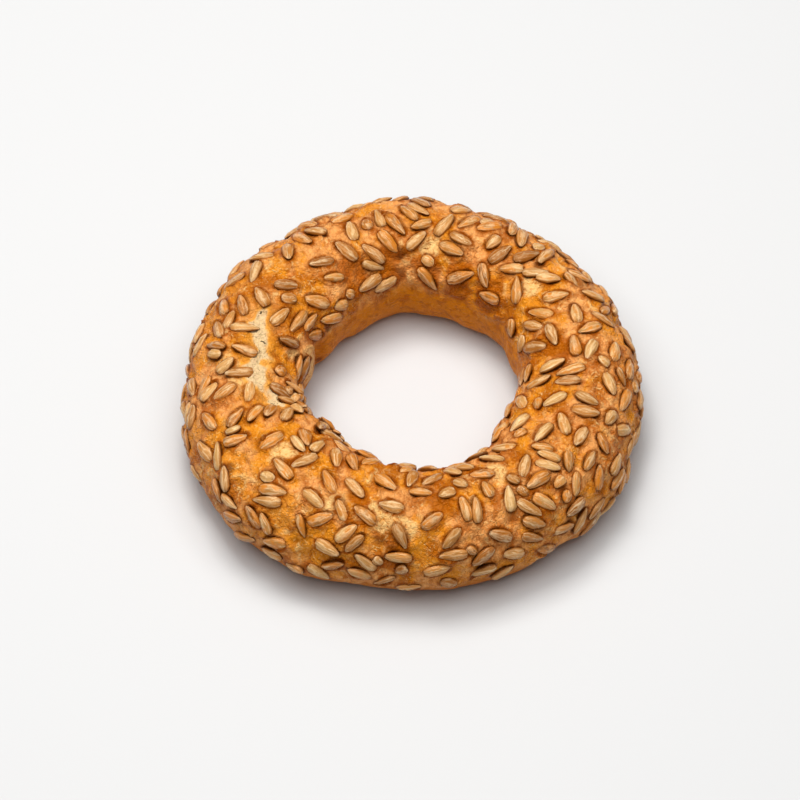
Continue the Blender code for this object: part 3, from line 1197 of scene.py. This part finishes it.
@dataclass
class Crust:
    """The ring of dough as it shows: the form, its fine unevenness, and what each point is."""

    form: DoughForm
    bed: KernelBed
    kernels: list[Kernel]
    finish: CrustFinish = CrustFinish()
    rough_bearings: int = 118
    rough_sections: int = 32
    cuts: int = 4
    crowding: float = 0.25
    swell: tuple[float, float] = (0.00110, 0.0095)
    pucker: tuple[float, float] = (0.00100, 0.0034)
    fold_height: float = 0.00055
    fold_grain: float = 0.0075
    fold_width: float = 0.13
    fold_sets: tuple[float, float] = (2.2, 3.0)
    fold_shift: tuple[float, float, float] = (9.0, 4.0, 2.0)
    wall_calm: float = 0.75
    rise: float = 0.00065
    rise_reach: float = 0.0013
    dent: float = 0.00060
    dent_fade: float = 0.0012
    # How far the pooled glaze and painted shade reach from a kernel.
    pool_and_shade_reach: float = 0.0010
    kernel_search: float = 0.0080
    least_reach: float = 0.2
    line_wander: tuple[float, float] = (0.003, 0.012)
    line_fade: float = 0.005
    line_lead: float = 0.2
    torn_width: float = 0.0026
    torn_fade: float = 0.0036
    torn_ragged: tuple[float, float] = (1.3, 0.0040)
    halo_width: float = 0.0048
    patches: tuple[Patch, ...] = (
        Patch(CrustLayer.PALE, 83, 117, 4.5),
        Patch(CrustLayer.PALE, 222, 86, 4.0),
        Patch(CrustLayer.PALE, 260, 67, 5.0),
        Patch(CrustLayer.PALE, 268, 55, 3.0),
        Patch(CrustLayer.PALE, 300, 97, 3.5),
        Patch(CrustLayer.PALE, 181, 74, 3.5),
        Patch(CrustLayer.PALE, 186, 86, 3.5),
        Patch(CrustLayer.PALE, 246, 68, 4.0),
        Patch(CrustLayer.PALE, 39, 108, 4.0),
        Patch(CrustLayer.PALE, 164, 172, 7.0),
        Patch(CrustLayer.PALE, 168, 154, 5.5),
        Patch(CrustLayer.PALE, 175, 164, 5.0),
        Patch(CrustLayer.GOLDEN, 212, 42, 8.0),
        Patch(CrustLayer.GOLDEN, 230, 36, 9.0),
        Patch(CrustLayer.GOLDEN, 248, 30, 9.0),
        Patch(CrustLayer.GOLDEN, 268, 32, 8.0),
        Patch(CrustLayer.GOLDEN, 262, 118, 6.0),
        Patch(CrustLayer.GOLDEN, 281, 116, 6.0),
        Patch(CrustLayer.GOLDEN, 152, 50, 8.0),
        Patch(CrustLayer.GOLDEN, 134, 62, 6.0),
        Patch(CrustLayer.GOLDEN, 27, 126, 7.0),
        Patch(CrustLayer.GOLDEN, 10, 122, 6.0),
        Patch(CrustLayer.AMBER, 118, 130, 7.0),
        Patch(CrustLayer.AMBER, 100, 138, 7.0),
        Patch(CrustLayer.AMBER, 84, 140, 7.0),
        Patch(CrustLayer.AMBER, 68, 142, 7.0),
        Patch(CrustLayer.AMBER, 52, 142, 7.0),
        Patch(CrustLayer.AMBER, 154, 136, 4.5),
        Patch(CrustLayer.AMBER, 176, 122, 2.5),
        Patch(CrustLayer.AMBER, 253, 79, 4.0),
        Patch(CrustLayer.AMBER, 265, 27, 5.0),
        Patch(CrustLayer.AMBER, 279, 78, 4.5),
        Patch(CrustLayer.AMBER, 8, 108, 5.0),
        Patch(CrustLayer.SCORCHED, 95, 123, 2.0),
        Patch(CrustLayer.SCORCHED, 43, 81, 2.2),
        Patch(CrustLayer.SCORCHED, 23, 82, 2.0),
        Patch(CrustLayer.SCORCHED, 214, 46, 2.0),
        Patch(CrustLayer.SCORCHED, 141, 160, 2.0),
        Patch(CrustLayer.SCORCHED, 147, 205, 1.6),
    )

    def model(self) -> bpy.types.Object:
        """Models the plain ring from a torus, and cuts it finer.

        Returns:
            The ring, before its form.
        """
        level = self.form.widest_level * self.form.stations[0].height
        bpy.ops.object.select_all(action="DESELECT")
        bpy.ops.mesh.primitive_torus_add(
            major_radius=self.form.stations[0].radius,
            minor_radius=self.form.stations[0].half_width,
            major_segments=self.rough_bearings,
            minor_segments=self.rough_sections,
            location=(0.0, 0.0, level),
        )
        ring = bpy.context.active_object
        ring.name = "crust"
        in_edit_mode(ring, lambda: bpy.ops.mesh.subdivide(number_cuts=self.cuts))
        bpy.ops.object.transform_apply(location=True, rotation=True, scale=True)
        return ring

    def kernel_distance(self, tree: KDTree, point: Vector) -> float:
        """The distance from a point to the outline of the nearest kernel, under 0 inside it.

        Args:
            tree: The kernels' middles.
            point: The point, on the dough.

        Returns:
            The distance, or the search distance where no kernel is near.
        """
        nearest = self.kernel_search
        for middle, index, _ in tree.find_range(point, self.kernel_search):
            kernel = self.kernels[index]
            out = point - middle
            length, width, _ = kernel.shown()
            x = out.dot(kernel.along) / (0.5 * length)
            y = out.dot(kernel.across()) / (0.5 * width)
            reach = math.hypot(x, y)
            away = (reach - 1.0) / max(reach, self.least_reach) * out.length
            nearest = min(nearest, away)
        return nearest

    def fold(self, point: Vector) -> float:
        """How much of a narrow raised fold of dough a point has.

        Args:
            point: The point.

        Returns:
            A share from 0 to 1.
        """
        wave = abs(noise.noise(point / self.fold_grain)) / self.fold_width
        spacing, gain = self.fold_sets
        place = point / (spacing * self.fold_grain) + Vector(self.fold_shift)
        return smooth(1.0 - wave) * smooth(0.5 + gain * noise.noise(place))

    def layers(self, bearing: float, section: float, point: Vector, away: float) -> dict:
        """What a point of the crust is.

        Args:
            bearing: The point's bearing.
            section: The point's section angle.
            point: The point.
            away: The distance to the nearest kernel.

        Returns:
            A share from 0 to 1 for each layer.
        """
        inside = math.cos(section) < 0.0
        line = self.bed.bare_line(bearing, inside)
        far, grain = self.line_wander
        wander = far * noise.noise(point / grain)
        bare = smooth((line - point.z + wander) / self.line_fade + self.line_lead)
        split = self.form.split_gap(bearing, section)
        swing, grain = self.torn_ragged
        ragged = self.torn_width * (1.0 + swing * noise.noise(point / grain))
        shares = {
            CrustLayer.KERNEL_SIDE_POOL_AND_SHADE: math.exp(-((max(away, 0.0) / self.pool_and_shade_reach) ** 2)),
            CrustLayer.BARE_WALL: 0.0 if inside else bare,
            CrustLayer.INNER_WALL: bare if inside else 0.0,
            CrustLayer.TORN: smooth((ragged - split) / self.torn_fade + 0.5),
            CrustLayer.HALO: math.exp(-((split / self.halo_width) ** 2)),
            CrustLayer.FOLD: self.fold(point),
            CrustLayer.GOLDEN: 0.0,
            CrustLayer.AMBER: 0.0,
            CrustLayer.PALE: 0.0,
            CrustLayer.SCORCHED: 0.0,
        }
        for patch in self.patches:
            share = patch.share(self.form, bearing, section, point)
            shares[patch.layer] = max(shares[patch.layer], share)
        return shares

    def height(self, point: Vector, away: float, shares: dict) -> float:
        """How far a point of the crust stands off the dough's form.

        Args:
            point: The point.
            away: The distance to the nearest kernel.
            shares: What the point is.

        Returns:
            The height, in metres.
        """
        wall = max(shares[CrustLayer.BARE_WALL], shares[CrustLayer.INNER_WALL])
        rough = 1.0 - self.wall_calm * wall
        height = self.fold_height * rough * shares[CrustLayer.FOLD]
        for swing, grain in (self.swell, self.pucker):
            height += swing * rough * noise.noise(point / grain)
        height += self.rise * math.exp(-((max(away, 0.0) / self.rise_reach) ** 2))
        if away < 0.0:
            height -= (self.rise + self.dent) * smooth(-away / self.dent_fade)
        return height

    def shape(self, ring: bpy.types.Object) -> None:
        """Moves the ring's points to the dough's form and its fine unevenness.

        Args:
            ring: The plain ring.
        """
        mesh = ring.data
        level = self.form.widest_level * self.form.stations[0].height
        middle = self.form.stations[0].radius
        angles = []
        for vertex in mesh.vertices:
            x, y, z = vertex.co
            section = math.atan2(z - level, math.hypot(x, y) - middle)
            section += self.crowding * math.sin(math.pi / 2.0 - section)
            angles.append((math.atan2(y, x), section))
            vertex.co = self.form.point(*angles[-1])
        mesh.update()
        tree = KDTree(len(self.kernels))
        for index, kernel in enumerate(self.kernels):
            tree.insert(kernel.middle, index)
        tree.balance()
        values: dict = {kind: [] for kind in CrustLayer}
        moves = []
        for vertex, (bearing, section) in zip(mesh.vertices, angles):
            away = self.kernel_distance(tree, vertex.co)
            shares = self.layers(bearing, section, vertex.co, away)
            for kind, share in shares.items():
                values[kind].append(share)
            fade = smooth(self.form.clear_of_foot(section) / self.form.foot_fade)
            moves.append(vertex.normal * self.height(vertex.co, away, shares) * fade)
        for vertex, move in zip(mesh.vertices, moves):
            vertex.co = vertex.co + move
        for kind, shares in values.items():
            mesh.attributes.new(kind.value, "FLOAT", "POINT").data.foreach_set("value", shares)
        mesh.update()

    def build(self) -> bpy.types.Object:
        """Builds and dresses the crust.

        Returns:
            The crust.
        """
        ring = self.model()
        self.shape(ring)
        bpy.ops.object.shade_smooth()
        lay_down(ring, self.finish.material())
        return ring


@dataclass(frozen=True)
class KernelShape:
    """The outline and section of one kind of kernel, as shares of its sizes.

    A low power makes an end blunt. The bend is sideways, and the crown is how far the facets
    beside the middle ridge are pressed in.
    """

    blunt_power: float = 0.32
    tip_power: float = 0.56
    nib: float = 0.0
    bend: float = 0.0
    crown: float = 0.86
    arch: float = 0.04

    def half_width(self, place: float) -> float:
        """Half the width at a place along the kernel.

        Args:
            place: The place, from -1 at the blunt end to 1 at the tip.

        Returns:
            A share of the widest half width.
        """
        widest = (self.blunt_power - self.tip_power) / (self.blunt_power + self.tip_power)
        most = (1.0 - widest) ** self.tip_power * (1.0 + widest) ** self.blunt_power
        return (1.0 - place) ** self.tip_power * (1.0 + place) ** self.blunt_power / most


@dataclass
class Kernels:
    """The kernels: a few modelled one by one, then copied to every place in the bed."""

    kernels: list[Kernel]
    finish: KernelFinish = KernelFinish()
    segments: int = 10
    rings: int = 6
    seed: int = 5
    unevenness: tuple[float, float] = (0.00030, 0.0022)
    levels: tuple[float, ...] = (-0.46, -0.31, -0.03, 0.27, 0.45)
    shapes: dict[KernelKind, KernelShape] = field(
        default_factory=lambda: {
            KernelKind.PLUMP: KernelShape(),
            KernelKind.SLIM: KernelShape(blunt_power=0.42, crown=0.76),
            KernelKind.NIBBED: KernelShape(tip_power=0.66, nib=0.05, crown=0.80),
            KernelKind.BENT: KernelShape(blunt_power=0.36, bend=0.14, crown=0.80, arch=0.07),
            KernelKind.HALF: KernelShape(blunt_power=0.36, tip_power=0.40, crown=0.95),
            KernelKind.SHARD: KernelShape(blunt_power=0.60, tip_power=0.34, crown=0.76),
        }
    )
    whole_kinds: dict[KernelKind, int] = field(
        default_factory=lambda: {
            KernelKind.PLUMP: 6,
            KernelKind.SLIM: 3,
            KernelKind.NIBBED: 4,
            KernelKind.BENT: 3,
        }
    )
    broken_kinds: tuple[KernelKind, ...] = (KernelKind.HALF, KernelKind.SHARD)
    least_half: float = 0.05
    facet_place: float = 0.58
    facet_width: float = 0.2
    arch_level: float = 0.6
    bend_level: float = 0.08
    tip_level: float = 0.45
    glaze_power: float = 1.3
    grain_shift: float = 40.0

    def model(self, kind: KernelKind) -> bpy.types.Object:
        """Models one kernel of length, width and thickness 1, from a sphere.

        Args:
            kind: Which shape it has.

        Returns:
            The kernel, at the origin with its tip towards +X.
        """
        bpy.ops.object.select_all(action="DESELECT")
        bpy.ops.mesh.primitive_uv_sphere_add(
            segments=self.segments,
            ring_count=self.rings,
            radius=0.5,
            rotation=(0.0, math.pi / 2.0, 0.0),
        )
        made = bpy.context.active_object
        made.name = f"kernel_{kind.value}"
        bpy.ops.object.transform_apply(location=True, rotation=True, scale=True)
        shape = self.shapes[kind]
        natural = sorted({round(vertex.co.x, 4) for vertex in made.data.vertices})[1:-1]
        for old, new in zip(natural, self.levels):
            share = shape.half_width(2.0 * new) / math.sqrt(1.0 - (2.0 * old) ** 2)
            self.move_ring(made, old, new, share)
        self.note_places(made.data, shape)
        for vertex in made.data.vertices:
            self.press(vertex, shape)
        bpy.ops.object.shade_smooth()
        return made

    def move_ring(self, made: bpy.types.Object, old: float, new: float, share: float) -> None:
        """Resizes the ring of points at one level along a kernel, and moves it to another.

        Args:
            made: The kernel.
            old: Where the ring is.
            new: Where it goes.
            share: How many times as wide it becomes.
        """
        for vertex in made.data.vertices:
            vertex.select = abs(vertex.co.x - old) < 1e-3
        for part in (*made.data.edges, *made.data.polygons):
            part.select = False
        bpy.ops.object.mode_set(mode="EDIT")
        bpy.ops.transform.resize(value=(1.0, share, share), center_override=(old, 0.0, 0.0))
        bpy.ops.transform.translate(value=(new - old, 0.0, 0.0))
        bpy.ops.object.mode_set(mode="OBJECT")

    def note_places(self, mesh: bpy.types.Mesh, shape: KernelShape) -> None:
        """Keeps where each point lies along, across and up its kernel, each from -1 to 1.

        Args:
            mesh: The kernel's mesh, which gets an attribute.
            shape: The kernel's shape.
        """
        places = []
        for vertex in mesh.vertices:
            x, y, z = vertex.co
            half = max(0.5 * shape.half_width(min(1.0, max(-1.0, 2.0 * x))), self.least_half)
            places += [2.0 * x, y / half, z / half]
        noted = mesh.attributes.new("kernel_place", "FLOAT_VECTOR", "POINT")
        noted.data.foreach_set("vector", places)

    def press(self, vertex: bpy.types.MeshVertex, shape: KernelShape) -> None:
        """Gives one point of a kernel its facets, nib, bend and arch.

        Args:
            vertex: The point.
            shape: The kernel's shape.
        """
        x, y, z = vertex.co
        half = max(0.5 * shape.half_width(min(1.0, max(-1.0, 2.0 * x))), self.least_half)
        beside = (abs(y) / half - self.facet_place) / self.facet_width
        facet = math.exp(-(beside**2)) * (z > 0.0)
        vertex.co.z = z * (1.0 - (1.0 - shape.crown) * facet)
        vertex.co.z += shape.arch * (math.cos(math.pi * x) - self.arch_level)
        vertex.co.y = y + shape.bend * (x**2 - self.bend_level)
        if x > self.tip_level:
            vertex.co.x = x + shape.nib

    def choose(self, kernel: Kernel, draw: random.Random) -> KernelKind:
        """Picks a kernel's shape.

        Args:
            kernel: The kernel, whole or broken.
            draw: Where the choice comes from.

        Returns:
            The shape's kind.
        """
        if kernel.whole:
            weights = tuple(self.whole_kinds.values())
            return draw.choices(tuple(self.whole_kinds), weights=weights)[0]
        return draw.choice(self.broken_kinds)

    def look(self, draw: random.Random) -> tuple[float, float, float]:
        """A kernel's tint, how much glaze it has, and a shift for its grain."""
        glaze = draw.random() ** self.glaze_power
        return draw.random(), glaze, draw.uniform(0.0, self.grain_shift)

    def copy(self, model: bpy.types.Object, kernel: Kernel, look: tuple) -> bpy.types.Object:
        """Copies a modelled kernel to its place, with its own mesh, look and unevenness.

        Args:
            model: The modelled kernel.
            kernel: Where it goes.
            look: Its tint, glaze and grain shift.

        Returns:
            The copy.
        """
        mesh = model.data.copy()
        looks = mesh.attributes.new("kernel_look", "FLOAT_VECTOR", "POINT")
        looks.data.foreach_set("vector", list(look) * len(mesh.vertices))
        mesh.transform(kernel.placed())
        height, grain = self.unevenness
        for vertex in mesh.vertices:
            vertex.co += height * noise.noise_vector(vertex.co / grain)
        made = bpy.data.objects.new("kernel", mesh)
        bpy.context.scene.collection.objects.link(made)
        return made

    def build(self) -> bpy.types.Object:
        """Builds and dresses the kernels as one piece.

        Returns:
            The kernels.
        """
        draw = random.Random(self.seed)
        noise.seed_set(self.seed)
        models = {kind: self.model(kind) for kind in KernelKind}
        copies = [
            self.copy(models[self.choose(kernel, draw)], kernel, self.look(draw))
            for kernel in self.kernels
        ]
        for model in models.values():
            bpy.data.objects.remove(model)
        bpy.ops.object.select_all(action="DESELECT")
        for made in copies:
            made.select_set(True)
        bpy.context.view_layer.objects.active = copies[0]
        bpy.ops.object.join()
        joined = bpy.context.active_object
        joined.name = "kernels"
        lay_down(joined, self.finish.material())
        return joined


@dataclass(frozen=True)
class SoftLight:
    """A square of light that faces the ring."""

    name: str
    place: tuple[float, float, float]
    side: float
    watts: float
    colour: tuple[float, float, float] = (1.0, 1.0, 1.0)


@dataclass
class Studio:
    """A plain pale floor, soft light from overhead, and the camera at the photo's angle."""

    floor_side: float = 4.0
    finish: FloorFinish = FloorFinish()
    target: tuple[float, float, float] = (-0.0041, 0.0058, 0.0043)
    elevation: float = math.radians(53.7)
    distance: float = 2.397
    lens: float = 317.0
    sky: float = 0.20
    lights: tuple[SoftLight, ...] = (
        SoftLight("ceiling", (-0.06, -0.04, 1.15), 1.40, 18.7),
        SoftLight("key", (-0.14, 0.30, 1.14), 0.44, 7.4, (1.0, 0.985, 0.96)),
    )

    def lay_floor(self) -> None:
        """Lays the floor under the ring."""
        bpy.ops.mesh.primitive_plane_add(size=self.floor_side, location=(0.0, 0.0, 0.0))
        floor = bpy.context.active_object
        floor.name = "floor"
        floor.data.materials.append(self.finish.material())

    def hang_lights(self) -> None:
        """Hangs the lights and sets the even light of the room."""
        for light in self.lights:
            data = bpy.data.lights.new(light.name, "AREA")
            data.size, data.energy, data.color = light.side, light.watts, light.colour
            made = bpy.data.objects.new(light.name, data)
            made.location = light.place
            made.rotation_euler = (-Vector(light.place)).to_track_quat("-Z", "Y").to_euler()
            bpy.context.scene.collection.objects.link(made)
        world = bpy.data.worlds.new("room")
        world.use_nodes = True
        world.node_tree.nodes["Background"].inputs["Strength"].default_value = self.sky
        world.node_tree.nodes["Background"].inputs["Color"].default_value = (1, 1, 1, 1)
        bpy.context.scene.world = world
        bpy.context.scene.view_settings.view_transform = "Standard"

    def place_camera(self) -> None:
        """Sets the camera where the photo was taken from."""
        data = bpy.data.cameras.new("camera")
        data.lens = self.lens
        camera = bpy.data.objects.new("camera", data)
        back = Vector((0.0, -math.cos(self.elevation), math.sin(self.elevation)))
        camera.location = Vector(self.target) + back * self.distance
        camera.rotation_euler = (-back).to_track_quat("-Z", "Y").to_euler()
        bpy.context.scene.collection.objects.link(camera)
        bpy.context.scene.camera = camera

    def build(self) -> None:
        """Builds the whole studio."""
        bpy.ops.object.select_all(action="DESELECT")
        self.lay_floor()
        self.hang_lights()
        self.place_camera()


def main() -> None:
    """Builds the crust, the kernels and the studio."""
    logging.basicConfig(level=logging.INFO)
    form = DoughForm()
    bed = KernelBed(form)
    kernels = bed.kernels()
    log.info("%d kernels", len(kernels))
    Crust(form, bed, kernels).build()
    Kernels(kernels).build()
    Studio().build()


if __name__ == "__main__":
    main()
